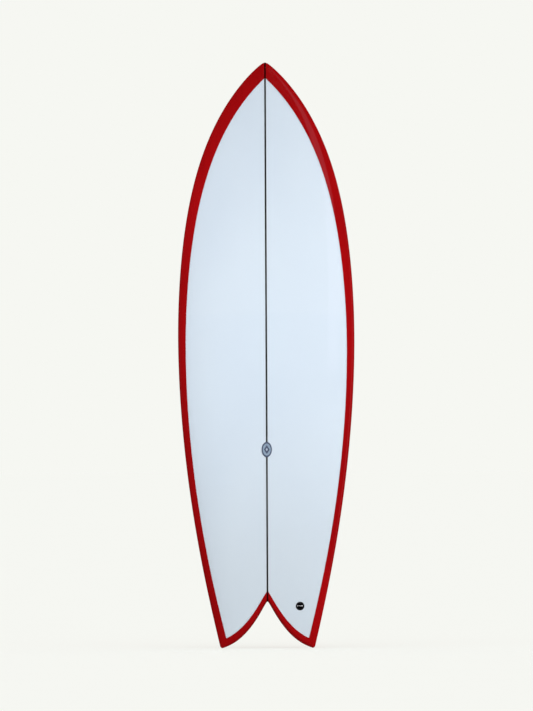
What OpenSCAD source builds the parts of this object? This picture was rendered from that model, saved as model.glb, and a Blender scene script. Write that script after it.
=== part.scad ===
// Swallow-tail shortboard with twin keel fins, standing on its tail tips.
// +Z runs up the stringer to the nose and the deck faces -Y.
// Inside the file a height h is measured from the rocker's baseline towards the deck, so y = -h.
// The origin is under the middle of the board's box.

/* [Board] */
// Length from the tail tips to the nose, 5 ft 8 in
board_l = 1727; // [1600:1:1900]
// Greatest width, 20 1/2 in
board_w = 521; // [480:1:560]
// Greatest thickness from the rails' baseline to the deck, 2 7/16 in
board_t = 62; // [54:0.5:70]
// Height of the widest point above the tail tips
wide_z = 914; // [860:1:960]
// Height of the thickest point above the tail tips
thick_z = 900; // [820:1:960]
// Thickness at the nose before its edge is rounded
nose_t = 13; // [11:0.5:18]
// Thickness at the tail tips before their edge is rounded
tail_t = 14; // [12:0.5:18]
// Lift of the nose above the baseline
nose_rocker = 108; // [80:1:130]
// Lift of the tail above the baseline
tail_rocker = 40; // [25:1:55]
// Height of the lowest point of the rocker above the tail tips
flat_z = 800; // [700:1:900]
// Depth of the single concave along the bottom
concave = 2; // [0:0.1:4]

/* [Swallow tail] */
// Width across the tail tips before they are rounded
tail_w = 278; // [250:1:300]
// Depth of the notch above the tail tips
notch_d = 137; // [110:1:150]
// Radius of the tail tips
tip_r = 6; // [4:0.5:8]
// Reach of the rounded edge along the notch
notch_edge = 9; // [7:0.5:12]

/* [Glass] */
// Thickness of the laminate over the foam
glass_t = 1.2; // [0.9:0.1:1.4]
// Thickness of a reinforcing patch under the laminate
patch_t = 0.4; // [0.2:0.1:0.6]
// Width of the tinted lap along the notch
notch_lap = 20; // [14:1:22]
// Distance from the nose to the point of the clear deck panel
nose_lap = 45; // [40:1:50]

/* [Stringer] */
// Thickness of the wooden stringer
stringer_t = 5; // [3:0.5:8]

/* [Keel fins] */
// Length of a fin's base
fin_base = 204; // [180:1:215]
// Depth of a fin
fin_depth = 134; // [115:1:145]
// Thickness of a fin at its base
fin_t = 9; // [7:0.5:11]
// Height of the middle of a fin's base above the tail tips
fin_z = 252; // [235:1:275]
// Distance of a fin from the stringer's centre
fin_x = 141; // [130:1:146]
// Toe-in, degrees
toe = 1.5; // [0:0.5:3]
// Lean away from the stringer, degrees
cant = 5; // [2:0.5:8]

/* [Leash plug] */
// Distance of the plug from the stringer's centre
plug_x = 96; // [85:1:105]
// Height of the plug above the tail tips
plug_z = 123.5; // [115:0.5:140]
// Outer radius of the cup
plug_r = 12.5; // [11:0.5:14]
// Depth of the cup
plug_depth = 19; // [16:0.5:20]
// Radius of the cup's mouth
mouth_r = 8.5; // [7.5:0.5:9]
// Radius of the steel bar
bar_r = 1.5; // [1:0.25:2]

/* [Decal] */
// Height of the decal above the tail tips
decal_z = 586; // [500:1:700]
// Width of the decal
decal_w = 30; // [20:1:40]
// Height of the decal
decal_h = 45; // [30:1:60]

/* [Hidden] */

// ---- The board's shape -------------------------------------------------

// Share of the outline's nose curve that is a plain parabola; the rest falls off near the nose
nose_share = 0.57;
nose_fall = 4.33;
nose_bluntness = 0.864;
tail_taper = 1.885;
// The outline's own point lies this far past the rounded nose
nose_over = 2;
// Reach of the rounded nose in plan, and through the thickness
nose_round = 4;
nose_roll = 14;
tail_rocker_power = 2.2;
nose_rocker_power = 2.4;
nose_thinning = 1.55;
// Height of the rail's outermost line, as a share of the thickness, at the tail and added by the nose
apex_tail = 0.34;
apex_more = 0.16;
// Power of the deck's curve at the nose and added by the tail, and the same for the bottom
deck_dome = 2.3;
deck_more = 2.7;
bottom_roll = 8;
bottom_more = 22;
// Share of the width that the concave takes
hollow_reach = 0.8;

function clamp(a, low, high) = max(low, min(high, a));
// A quarter circle: 0 at a = 0 with an upright tangent, 1 from a = 1 on
function round_up(a) = sqrt(1 - pow(1 - clamp(a, 0, 1), 2));

function nose_half_w(z) = let (t = (z - wide_z) / (board_l + nose_over - wide_z))
    board_w / 2 * pow(1 - nose_share * pow(t, 2) - (1 - nose_share) * pow(t, nose_fall), nose_bluntness)
    * round_up((board_l - z) / nose_round);
function tail_half_w(z) =
    board_w / 2 - (board_w - tail_w) / 2 * pow((wide_z - z) / wide_z, tail_taper)
    - tip_r * (1 - round_up(z / tip_r));
// Half of the outline's width at height z
function half_w(z) = z > wide_z ? nose_half_w(z) : tail_half_w(max(z, 0));
function half_w_slope(z) = (half_w(min(z + 1, board_l)) - half_w(z - 1)) / (min(z + 1, board_l) - z + 1);

function rocker(z) = z < flat_z
    ? tail_rocker * pow((flat_z - z) / flat_z, tail_rocker_power)
    : nose_rocker * pow((z - flat_z) / (board_l - flat_z), nose_rocker_power);
function thickness(z) = (z < thick_z
    ? board_t - (board_t - tail_t) * pow((thick_z - z) / thick_z, 2)
    : board_t - (board_t - nose_t) * pow((z - thick_z) / (board_l - thick_z), nose_thinning))
    * round_up((board_l - z) / nose_roll);
// Height of the rail's outermost line above the bottom
function apex(z) = thickness(z) * (apex_tail + apex_more * z / board_l);
// How full the deck is, from domed in the middle to flat at the tail
function deck_power(z) = deck_dome + deck_more * pow(1 - z / board_l, 4);
// How hard the bottom edge is, from rolled at the nose to sharp at the tail
function bottom_power(z) = bottom_roll + bottom_more * pow(1 - z / board_l, 2);
function across(x, z) = clamp(abs(x) / max(half_w(z), 0.01), 0, 1);
function hollow(x, z) = concave * pow(sin(180 * z / board_l), 2)
    * pow(1 - pow(clamp(across(x, z) / hollow_reach, 0, 1), 2), 2);
// edge is 1 over the board and falls to 0 at the notch, where deck and bottom meet
function deck_h(x, z, edge = 1) = rocker(z) + apex(z)
    + (thickness(z) - apex(z)) * sqrt(1 - pow(across(x, z), deck_power(z))) * edge;
function bottom_h(x, z, edge = 1) = rocker(z) + apex(z)
    - (apex(z) - hollow(x, z)) * sqrt(1 - pow(across(x, z), bottom_power(z))) * edge;

// ---- The grid of rows and columns that every layer shares ----------------

// The notch's height over u, from 0 at the stringer to 1 at the tip: a straight part and a curved one
notch_straight = 44;
notch_curve = notch_d - notch_straight;
notch_power = 2.35;
notch_blend = 0.025;
function blend(u) = norm([u, notch_blend]) - notch_blend;
function notch_h(u) = let (r = clamp(1 - blend(u) / blend(1), 0, 1))
    notch_straight * r + notch_curve * pow(r, notch_power);
// Length along the notch's slope for each unit across it
function notch_stretch(u) = norm([1, (notch_straight
    + notch_curve * notch_power * pow(1 - clamp(u, 0, 1), notch_power - 1)) / (tail_w / 2)]);

// Heights of the rows at the rail, close together at the tail and the nose
panel_top = board_l - 69;
mid_rows = 34;
tail_rows = [0, 0.8, 2.5, 5.5, 10];
nose_rows = [69, 52, 38, 27, 18, 11, 6, 2.6, 0.7, 0];
rows = concat(tail_rows,
    [for (i = [0:mid_rows - 1]) notch_lap + (panel_top - notch_lap) * i / mid_rows],
    [for (d = nose_rows) board_l - d]);
last_row = len(rows) - 1;
lap_row = len(tail_rows);
panel_row = lap_row + mid_rows;
// The foam and the stringer stop here, and solid resin fills the nose beyond
foam_row = panel_row + 6;

// Columns run from the stringer (0) over its side (1) and the lap line to the rail
lap_col = 8;
rail_col = 14;
ring = 4 * rail_col;

// Width of the lap at the tail, and how it narrows and then widens towards the nose
lap_w_tail = 21.5;
lap_narrowing = 18;
lap_widening = 38;
// Width of the tinted lap on the deck, measured square to the rail
function lap_w(z) = let (s = z / board_l) lap_w_tail - lap_narrowing * s + lap_widening * s * s;
function lap_x(z) = half_w(z) - lap_w(z) * norm([1, half_w_slope(z)]);
panel_share = lap_x(panel_top) / half_w(panel_top);
function lap_col_x(s) = max(lap_x(s), panel_share * half_w(s));
function column_x(j, s) = let (xl = lap_col_x(s), x1 = min(stringer_t / 2, xl / 2))
    j == 0 ? 0
    : j <= lap_col ? x1 + (xl - x1) * (j - 1) / (lap_col - 1)
    : xl + (half_w(s) - xl) * sin(90 * (j - lap_col) / (rail_col - lap_col));

// Each row leaves the rail level, follows the notch near the tail and the panel's point near the nose
notch_fade = 600;
notch_reach = 200;
point_h = board_l - nose_lap - panel_top;
point_reach = 26;
function row_z(j, s) = let (x = column_x(j, s), u = x / half_w(s))
    s + notch_h(u) * pow(max(0, 1 - s / notch_fade), 2)
    + (notch_stretch(u) - 1) * s * exp(-s / notch_reach)
    + point_h * exp(-pow((s - panel_top) / point_reach, 2))
    * max(0, 1 - x / max(lap_col_x(s), 0.01));

// Column k runs 0 to rail_col over the deck, then back under the bottom to 2 * rail_col
function grid_point(i, k) = let (
    deck = k <= rail_col,
    j = deck ? k : 2 * rail_col - k,
    s = rows[i],
    x = column_x(j, s),
    z = row_z(j, s),
    edge = round_up(s / notch_edge))
    [x, -(deck ? deck_h(x, z, edge) : bottom_h(x, z, edge)), z];
grid = [for (i = [0:last_row]) [for (k = [0:2 * rail_col]) grid_point(i, k)]];

function sgn(k) = k < 0 ? -1 : 1;
// The matching column on the other face
function fold(k) = sgn(k) * (2 * rail_col - abs(k));
function wrap(k) = abs(k) > 2 * rail_col ? k - sgn(k) * ring : k;
// The point of row i, column k, on either side; row -1 is row 1 of the other face
function at(i, k) = let (w = wrap(k))
    i < 0 ? at(1, fold(w))
    : let (p = grid[i][abs(w)]) [sgn(w) * p[0], p[1], p[2]];
function unit(v) = v / norm(v);
function on_side(k) = abs(k) <= 1 || abs(k) >= 2 * rail_col - 1;
// Outward direction; it lies in the stringer's plane on the stringer's own columns
function outward(i, k) =
    i == last_row ? [0, 0, 1]
    : i == 0 && abs(k) == rail_col
        ? unit(outward(0, k - sgn(k)) + outward(1, k))
    : let (n = cross(at(i, k + 1) - at(i, k - 1), at(i + 1, k) - at(i - 1, k)))
        unit(on_side(k) ? [0, n[1], n[2]] : n);
directions = [for (i = [0:last_row]) [for (k = [0:2 * rail_col]) outward(i, k)]];
function sunk(i, k, depth) = let (n = directions[i][abs(k)], p = at(i, k))
    [p[0] - sgn(k) * n[0] * depth, p[1] - n[1] * depth, p[2] - n[2] * depth];

// ---- Patches between the foam and the laminate ---------------------------

deck_patch_top = lap_row + 20;
fin_patch_rows = [lap_row + 2, lap_row + 9];
fin_patch_cols = [lap_col - 3, lap_col];
function under_deck(i, k) = abs(k) < lap_col && i > lap_row && i < deck_patch_top;
function under_fin(i, k) = let (j = 2 * rail_col - abs(k))
    j > fin_patch_cols[0] && j < fin_patch_cols[1] && i > fin_patch_rows[0] && i < fin_patch_rows[1];
// The laminate is thinner where a patch lies under it
function glass_depth(i, k) = under_deck(i, k) || under_fin(i, k) ? glass_t - patch_t : glass_t;

// ---- Closed layers from the grid -----------------------------------------

row_ks = [for (r = [0:ring - 1]) r <= 2 * rail_col ? r : r - ring];
outer_points = [for (i = [0:last_row]) for (k = row_ks) at(i, k)];
glass_points = [for (i = [0:last_row]) for (k = row_ks) sunk(i, k, glass_depth(i, k))];
foam_points = [for (i = [0:last_row]) for (k = row_ks) sunk(i, k, glass_t)];
layer_len = len(outer_points);

// A point's number; row 0 is one line shared by deck and bottom, and the last row is one point
function id(i, k) = let (w = wrap(k), f = i == 0 && abs(w) > rail_col ? fold(w) : w)
    i == last_row ? last_row * ring : i * ring + (f + ring) % ring;
function tri(a, b, c) = a == b || b == c || a == c ? [] : [[a, b, c]];
function quad(a, b, c, d) = concat(tri(a, b, c), tri(a, c, d));
function quad_back(a, b, c, d) = concat(tri(a, c, b), tri(a, d, c));
function raised(q, by) = [for (a = q) a + by];
function corners(i, k) = [id(i, k), id(i, k + 1), id(i + 1, k + 1), id(i + 1, k)];
function face_out(q) = quad_back(q[0], q[1], q[2], q[3]);
function face_in(q) = quad(q[0], q[1], q[2], q[3]);
// The four-sided pieces that close a body across row i, between columns j and j + 1
function cap(i, j, side) = side > 0
    ? [id(i, j), id(i, j + 1), id(i, 2 * rail_col - j - 1), id(i, 2 * rail_col - j)]
    : [id(i, -j - 1), id(i, -j), id(i, j - 2 * rail_col), id(i, j + 1 - 2 * rail_col)];
// The stringer's side between rows i and i + 1
function side_wall(i, side) = side > 0
    ? [id(i + 1, 1), id(i, 1), id(i, 2 * rail_col - 1), id(i + 1, 2 * rail_col - 1)]
    : [id(i, -1), id(i + 1, -1), id(i + 1, 1 - 2 * rail_col), id(i, 1 - 2 * rail_col)];

function in_panel(i, k) = i >= lap_row && i < panel_row && k >= -lap_col && k < lap_col;
all_ks = [-2 * rail_col:2 * rail_col - 1];
// Walls from the outer layer to the inner one where the cells in `own` meet cells that aren't
function walls(i, k, own) = let (q = corners(i, k), n = layer_len) concat(
    i > 0 && own(i - 1, k) != own(i, k) ? quad(q[0], q[1], q[1] + n, q[0] + n) : [],
    own(i + 1, k) != own(i, k) ? quad(q[2], q[3], q[3] + n, q[2] + n) : [],
    own(i, k + 1) != own(i, k) ? quad(q[1], q[2], q[2] + n, q[1] + n) : [],
    own(i, k - 1) != own(i, k) ? quad(q[3], q[0], q[0] + n, q[3] + n) : []);

module laminate(own, solid_from = last_row) {
    cells = [for (i = [0:last_row - 1]) for (k = all_ks) if (own(i, k)) [i, k]];
    ends = solid_from < last_row;
    polyhedron(
        points = concat(outer_points, glass_points),
        faces = [
            for (c = cells) each face_out(corners(c[0], c[1])),
            for (c = cells) if (c[0] < solid_from)
                each face_in(raised(corners(c[0], c[1]), layer_len)),
            for (c = cells) if (c[0] < solid_from) each walls(c[0], c[1], own),
            if (ends) for (j = [0:rail_col - 1]) for (side = [-1, 1])
                each face_in(raised(cap(solid_from, j, side), layer_len))
        ],
        convexity = 6);
}

// Each patch fills the space that glass_depth leaves, and thins to nothing at its rim
module patch(own) {
    function number(i, k, q) = glass_depth(i, wrap(k)) < glass_t ? q : q + layer_len;
    function lid(i, k) = let (q = corners(i, k))
        [number(i, k, q[0]), number(i, k + 1, q[1]), number(i + 1, k + 1, q[2]), number(i + 1, k, q[3])];
    function split(p) = [[p[0], p[2], p[1]], [p[0], p[3], p[2]]];
    cells = [for (i = [lap_row:panel_row]) for (k = all_ks) if (own(i, k)) [i, k]];
    polyhedron(
        points = concat(glass_points, foam_points),
        faces = [for (c = cells)
            let (top = split(lid(c[0], c[1])), base = split(raised(corners(c[0], c[1]), layer_len)))
            for (t = [0, 1]) if (top[t] != base[t])
                each [top[t], [base[t][0], base[t][2], base[t][1]]]],
        convexity = 6);
}

module foam_half(side) {
    ks = side > 0 ? [1:2 * rail_col - 2] : [1 - 2 * rail_col:-2];
    polyhedron(
        points = foam_points,
        faces = [
            for (i = [0:foam_row - 1]) for (k = ks) each face_out(corners(i, k)),
            for (i = [0:foam_row - 1]) each face_in(side_wall(i, side)),
            for (j = [1:rail_col - 1]) each face_out(cap(foam_row, j, side))
        ],
        convexity = 6);
}

// ---- Places on the board's faces ------------------------------------------

function slope_x(x, z, deck) = deck ? deck_h(x + 1, z) - deck_h(x, z) : bottom_h(x + 1, z) - bottom_h(x, z);
function slope_z(x, z, deck) = deck ? deck_h(x, z + 1) - deck_h(x, z) : bottom_h(x, z + 1) - bottom_h(x, z);
// Children stand on the face with their own +Z pointing away from it
module on_face(x, z, deck) {
    translate([x, -(deck ? deck_h(x, z) : bottom_h(x, z)), z])
    rotate([atan(slope_z(x, z, deck)), 0, -atan(slope_x(x, z, deck))])
    rotate([deck ? 90 : -90, 0, 0])
    children();
}
// For fins and their boxes: +Y points to the tail, +X away from the stringer
module fin_seat(side) {
    mirror([side < 0 ? 1 : 0, 0, 0])
    on_face(fin_x, fin_z, false)
    rotate([0, 0, -toe])
    children();
}
module plug_seat() on_face(plug_x, plug_z, true) children();

// ---- Fins, boxes and screws ------------------------------------------------

gap = 0.1;
// How far a cutter stands out of the face that it cuts
through = 5;
box_l = 136;
box_w = 22;
box_body_l = 130;
box_body_w = 16;
flange_t = 3;
box_depth = 22;
box_sink = 0.3;
tab_l = 114;
tab_w = 7.4;
tab_depth = 19;
tab_y = 6;
toe_l = 12;
toe_t = 7;
screw_r = 2.1;
screw_y = tab_y - tab_l / 2 - toe_l / 2;
screw_gap = 0.05;
screw_sunk = 0.6;
screw_l = tab_depth - toe_t - screw_sunk;
hex_r = 1.3;
hex_depth = 3;

module stadium(l, w) {
    straight_l = l - w;
    square([w, straight_l], center = true);
    for (s = [-1, 1]) translate([0, s * straight_l / 2]) circle(d = w, $fn = 48);
}
module box_body(grow, proud) {
    translate([0, 0, -flange_t - grow])
        linear_extrude(flange_t + grow + proud) stadium(box_l + 2 * grow, box_w + 2 * grow);
    translate([0, 0, -box_depth - grow])
        linear_extrude(box_depth) stadium(box_body_l + 2 * grow, box_body_w + 2 * grow);
}
module tab(grow, top) {
    translate([-tab_w / 2 - grow, tab_y - tab_l / 2 - grow, -tab_depth - grow])
        cube([tab_w + 2 * grow, tab_l + 2 * grow, tab_depth + grow + top]);
    translate([-tab_w / 2 - grow, tab_y - tab_l / 2 - toe_l - grow, -tab_depth - grow])
        cube([tab_w + 2 * grow, toe_l + 2 * grow, toe_t + 2 * grow]);
}
module fin_box(side) {
    color([0.13, 0.13, 0.14]) placed() fin_seat(side) translate([0, 0, -box_sink]) difference() {
        box_body(0, 0);
        tab(gap, through);
        translate([0, screw_y, -tab_depth + toe_t]) cylinder(r = screw_r + screw_gap, h = tab_depth, $fn = 32);
    }
}
module fin_pocket(side) fin_seat(side) translate([0, 0, -box_sink]) box_body(gap, through);

// Fin outline over v, from 0 at the base to 1 at the tip, as distances forward of the base's rear end
fin_fullness = 2.6;
fin_round = 0.55;
fin_cutaway = 22;
function fin_front(v) = fin_base * pow(1 - pow(v, fin_fullness), fin_round);
function fin_rear(v) = fin_cutaway * sin(180 * pow(v, 0.75));
// Half-thickness of a foil of unit thickness at c, from 0 at the front to 1 at the rear
function foil(c) = 5 * (0.2969 * sqrt(c) - 0.126 * c - 0.3516 * c * c
    + 0.2843 * c * c * c - 0.1036 * pow(c, 4));
fin_spans = [0, 0.1, 0.2, 0.3, 0.4, 0.5, 0.6, 0.7, 0.78, 0.85, 0.91, 0.955, 0.985];
foil_steps = 12;
ring_n = 2 * foil_steps;
// The inner face is nearly flat
inner_share = 0.2;
fin_rise = 0.05;
rear_edge = 0.8;
tip_set = 14;
function blade_x(v, x) = x + tan(cant) * fin_depth * v;
function blade_row(v) = let (
    chord = fin_front(v) - fin_rear(v),
    t = min(fin_t * (1 - 0.45 * v), 0.1 * chord))
    [for (m = [0:ring_n - 1]) let (
        out = m <= foil_steps,
        c = (1 - cos(180 * (out ? m : ring_n - m) / foil_steps)) / 2,
        least = m % foil_steps == 0 ? 0 : min(rear_edge, t / 3) / 2,
        d = max(foil(c) * t, least),
        x = out ? 2 * d * (1 - inner_share) : -2 * d * inner_share)
        [blade_x(v, x - t * (0.5 - inner_share)),
         fin_base / 2 - fin_front(v) + chord * c,
         fin_rise + (fin_depth - fin_rise) * v]];
blade_points = concat(
    [for (v = fin_spans) each blade_row(v)],
    [[blade_x(1, 0), fin_base / 2 - tip_set, fin_depth]]);
module blade() {
    n = len(fin_spans) - 1;
    polyhedron(
        points = blade_points,
        faces = [
            for (i = [0:n - 1]) for (m = [0:ring_n - 1]) let (
                a = i * ring_n + m, b = i * ring_n + (m + 1) % ring_n)
                each quad(a, a + ring_n, b + ring_n, b),
            for (m = [0:ring_n - 1]) [n * ring_n + (m + 1) % ring_n, n * ring_n + m, (n + 1) * ring_n],
            for (m = [1:ring_n - 2]) [0, m, m + 1]
        ],
        convexity = 4);
}
module keel_fin(side) {
    color([0.62, 0.02, 0.02]) placed() fin_seat(side) {
        blade();
        translate([0, 0, -box_sink]) tab(0, box_sink + 4 * fin_rise);
    }
}

// ---- The middle of the board's box ---------------------------------------------

// y of a fin's point, turned by the toe-in and by the slope of the bottom
function seated_y(p) = let (
    tilt = atan(slope_z(fin_x, fin_z, false)),
    turn = -atan(slope_x(fin_x, fin_z, false)),
    x = p[0] * cos(toe) + p[1] * sin(toe),
    y = p[1] * cos(toe) - p[0] * sin(toe))
    x * sin(turn) + (p[2] * cos(tilt) + y * sin(tilt)) * cos(turn) - bottom_h(fin_x, fin_z);
nose_y = min([for (r = grid) for (p = r) p[1]]);
fin_tip_y = max([for (p = blade_points) seated_y(p)]);
mid_y = -(nose_y + fin_tip_y) / 2;
module placed() translate([0, mid_y, 0]) children();

// ---- Leash plug -------------------------------------------------------------

bar_depth = 4;
bar_l = 20;
cup_floor = 4;
cup_fillet = 5;
mouth_bevel = 1;
base_r = mouth_r - 1;
module cup_profile() {
    floor_z = cup_floor - plug_depth;
    polygon(concat(
        [[0, -plug_depth], [plug_r, -plug_depth], [plug_r, 0], [mouth_r + mouth_bevel, 0],
         [mouth_r, -mouth_bevel]],
        [for (a = [0:15:90]) [base_r - cup_fillet * (1 - cos(a)), floor_z + cup_fillet * (1 - sin(a))]],
        [[0, floor_z]]));
}
module bar() translate([0, 0, -bar_depth]) rotate([0, 90, 0])
    cylinder(r = bar_r, h = bar_l, center = true, $fn = 48);
// The hole that the cup is set in
module plug_pocket(deep) plug_seat() translate([0, 0, -deep])
    cylinder(r = plug_r + gap, h = deep + through, $fn = 64);

// ---- Decal --------------------------------------------------------------------

// One film, thicker where the ring and the lozenge are printed
film_t = 0.2;
print_t = 0.3;
decal_lift = 0.05;
rim = 3;
module oval(w, h) scale([w / h, 1]) circle(d = h, $fn = 72);
module lozenge(w, h) polygon([[w / 2, 0], [0, h / 2], [-w / 2, 0], [0, -h / 2]]);

// ---- Sub-parts ------------------------------------------------------------------

module foam_blank_left() {
    color([0.96, 0.96, 0.93]) placed() difference() {
        foam_half(-1);
        fin_pocket(-1);
    }
}
module foam_blank_right() {
    color([0.96, 0.96, 0.93]) placed() difference() {
        foam_half(1);
        fin_pocket(1);
        plug_pocket(plug_depth + gap);
    }
}
module stringer() {
    last = foam_row - 1;
    color([0.1, 0.05, 0.05]) placed() polyhedron(
        points = foam_points,
        faces = [
            for (i = [0:last]) for (k = [-1, 0, 2 * rail_col - 1, -2 * rail_col])
                each face_out(corners(i, k)),
            for (i = [0:last]) for (side = [-1, 1]) each face_out(side_wall(i, side)),
            for (side = [-1, 1]) each face_out(cap(foam_row, 0, side))
        ],
        convexity = 6);
}
module bottom_lamination() {
    color([0.6, 0.01, 0.02]) placed() difference() {
        laminate(function(i, k) !in_panel(i, k), foam_row);
        for (side = [-1, 1]) fin_pocket(side);
    }
}
module deck_lamination() {
    color([0.86, 0.91, 0.95]) placed() difference() {
        laminate(function(i, k) in_panel(i, k));
        plug_pocket(through);
    }
}
module deck_patch() {
    color([0.9, 0.93, 0.96]) placed() difference() {
        patch(function(i, k) i >= lap_row && i < deck_patch_top && k >= -lap_col && k < lap_col);
        plug_pocket(through);
    }
}
function fin_patch_cell(i, j) = i >= fin_patch_rows[0] && i < fin_patch_rows[1]
    && j >= fin_patch_cols[0] && j < fin_patch_cols[1];
module fin_patch_left() {
    color([0.85, 0.8, 0.8]) placed() difference() {
        patch(function(i, k) fin_patch_cell(i, k + 2 * rail_col));
        fin_pocket(-1);
    }
}
module fin_patch_right() {
    color([0.85, 0.8, 0.8]) placed() difference() {
        patch(function(i, k) fin_patch_cell(i, 2 * rail_col - 1 - k));
        fin_pocket(1);
    }
}
module fin_box_left() fin_box(-1);
module fin_box_right() fin_box(1);
module keel_fin_left() keel_fin(-1);
module keel_fin_right() keel_fin(1);
module fin_screws() {
    color("silver") placed() for (side = [-1, 1]) fin_seat(side)
        translate([0, screw_y, -box_sink - tab_depth + toe_t]) difference() {
            cylinder(r = screw_r, h = screw_l, $fn = 32);
            translate([0, 0, screw_l - hex_depth]) cylinder(r = hex_r, h = hex_depth + 1, $fn = 6);
        }
}
module leash_plug_cup() {
    color([0.05, 0.05, 0.05]) placed() plug_seat() difference() {
        rotate_extrude($fn = 96) cup_profile();
        bar();
    }
}
module leash_plug_bar() {
    color("silver") placed() plug_seat() bar();
}
module centre_decal() {
    color([0.45, 0.55, 0.65]) placed() on_face(0, decal_z, true) translate([0, 0, decal_lift]) {
        linear_extrude(film_t) oval(decal_w, decal_h);
        linear_extrude(print_t) {
            difference() {
                oval(decal_w, decal_h);
                oval(decal_w - 2 * rim, decal_h - 2 * rim);
            }
            lozenge(decal_w - 4 * rim, decal_h - 4 * rim);
        }
    }
}

foam_blank_left();
foam_blank_right();
stringer();
bottom_lamination();
deck_lamination();
deck_patch();
fin_patch_left();
fin_patch_right();
fin_box_left();
fin_box_right();
keel_fin_left();
keel_fin_right();
fin_screws();
leash_plug_cup();
leash_plug_bar();
centre_decal();
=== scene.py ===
"""The surfboard's finished pieces, materials, light and camera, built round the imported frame.

Shape formulas work in millimetres, as the design does, and meshes are in metres. A height h is
measured from the rocker's baseline towards the deck, so y = mid_y - h.
"""

import math

import bmesh
import bpy
import numpy as np
from mathutils import Matrix, Vector


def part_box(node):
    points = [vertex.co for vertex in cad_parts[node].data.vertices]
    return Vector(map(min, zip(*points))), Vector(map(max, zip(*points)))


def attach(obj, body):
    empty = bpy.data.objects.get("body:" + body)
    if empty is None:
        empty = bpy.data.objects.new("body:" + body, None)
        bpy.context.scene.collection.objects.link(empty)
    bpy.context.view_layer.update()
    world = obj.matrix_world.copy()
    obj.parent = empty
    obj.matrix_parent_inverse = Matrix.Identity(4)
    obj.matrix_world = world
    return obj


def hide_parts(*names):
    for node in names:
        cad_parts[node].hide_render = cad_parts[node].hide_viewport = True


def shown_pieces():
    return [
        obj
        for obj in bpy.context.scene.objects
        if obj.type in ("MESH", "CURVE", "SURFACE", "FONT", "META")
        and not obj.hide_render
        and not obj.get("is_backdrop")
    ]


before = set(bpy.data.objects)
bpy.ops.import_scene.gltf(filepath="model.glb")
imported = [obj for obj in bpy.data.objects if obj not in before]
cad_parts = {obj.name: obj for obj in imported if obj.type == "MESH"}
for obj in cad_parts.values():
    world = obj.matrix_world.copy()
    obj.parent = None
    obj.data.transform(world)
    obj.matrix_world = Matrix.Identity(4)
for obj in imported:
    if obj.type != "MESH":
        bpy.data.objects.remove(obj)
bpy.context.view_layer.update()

MM = 0.001

# ---- The board's driving dimensions, in millimetres -----------------------------------

BOARD_L = 1727.0
BOARD_W = 521.0
BOARD_T = 62.0
WIDE_Z = 914.0
THICK_Z = 900.0
FLAT_Z = 800.0
NOSE_T = 13.0
TAIL_T = 14.0
NOSE_ROCKER = 108.0
TAIL_ROCKER = 40.0
CONCAVE = 2.0
CONCAVE_REACH = 0.8
TAIL_W = 278.0
TIP_R = 6.0
NOSE_OVER = 2.0
NOSE_ROUND = 4.0
NOSE_ROLL = 14.0
NOSE_SHARE = 0.57
NOSE_POWER = 4.33
NOSE_FULLNESS = 0.864
TAIL_POWER = 1.885
TAIL_ROCKER_POWER = 2.2
NOSE_ROCKER_POWER = 2.4
NOSE_FOIL_POWER = 1.55
# Height of the rail's outermost line, as a share of the thickness, at the tail and added by the nose
APEX_TAIL = 0.34
APEX_MORE = 0.16
# Power of the deck's curve at the nose and added by the tail, and the same for the bottom
DECK_DOME = 2.3
DECK_MORE = 2.7
BOTTOM_ROLL = 8.0
BOTTOM_MORE = 22.0

NOTCH_D = 137.0
NOTCH_STRAIGHT = 44.0
NOTCH_CURVE = NOTCH_D - NOTCH_STRAIGHT
NOTCH_POWER = 2.35
NOTCH_BLEND = 0.025
NOTCH_EDGE = 9.0
NOTCH_LAP = 20.0
NOTCH_FADE = 600.0
NOTCH_REACH = 200.0

GLASS_T = 1.2
PATCH_T = 0.4
# Distances from the nose to the clear panel's last full row and to the panel's point
PANEL_SET = 69.0
NOSE_LAP = 45.0
PANEL_TOP = BOARD_L - PANEL_SET
POINT_H = BOARD_L - NOSE_LAP - PANEL_TOP
POINT_REACH = 26.0
FOAM_END = 6.0
STRINGER_T = 5.0
LAP_W_TAIL = 21.5
LAP_W_FALL = 18.0
LAP_W_RISE = 38.0


def round_up(a):
    """A quarter circle: 0 at a = 0 with an upright tangent, 1 from a = 1 on."""
    return np.sqrt(1 - (1 - np.clip(a, 0, 1)) ** 2)


def half_w(z):
    """Half of the outline's width at height z."""
    z = np.asarray(z, float)
    t = (np.clip(z, WIDE_Z, BOARD_L) - WIDE_Z) / (BOARD_L + NOSE_OVER - WIDE_Z)
    nose = BOARD_W / 2 * (1 - NOSE_SHARE * t**2 - (1 - NOSE_SHARE) * t**NOSE_POWER) ** NOSE_FULLNESS
    nose = nose * round_up((BOARD_L - z) / NOSE_ROUND)
    low = np.clip(z, 0, WIDE_Z)
    tail = BOARD_W / 2 - (BOARD_W - TAIL_W) / 2 * ((WIDE_Z - low) / WIDE_Z) ** TAIL_POWER
    tail = tail - TIP_R * (1 - round_up(low / TIP_R))
    return np.where(z > WIDE_Z, nose, tail)


def rocker(z):
    tail = TAIL_ROCKER * (np.clip(FLAT_Z - z, 0, None) / FLAT_Z) ** TAIL_ROCKER_POWER
    nose = NOSE_ROCKER * (np.clip(z - FLAT_Z, 0, None) / (BOARD_L - FLAT_Z)) ** NOSE_ROCKER_POWER
    return tail + nose


def thickness(z):
    tail = (BOARD_T - TAIL_T) * (np.clip(THICK_Z - z, 0, None) / THICK_Z) ** 2
    nose = (BOARD_T - NOSE_T) * (np.clip(z - THICK_Z, 0, None) / (BOARD_L - THICK_Z)) ** NOSE_FOIL_POWER
    return (BOARD_T - tail - nose) * round_up((BOARD_L - z) / NOSE_ROLL)


def apex(z):
    """Height of the rail's outermost line above the bottom."""
    return thickness(z) * (APEX_TAIL + APEX_MORE * z / BOARD_L)


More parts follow.
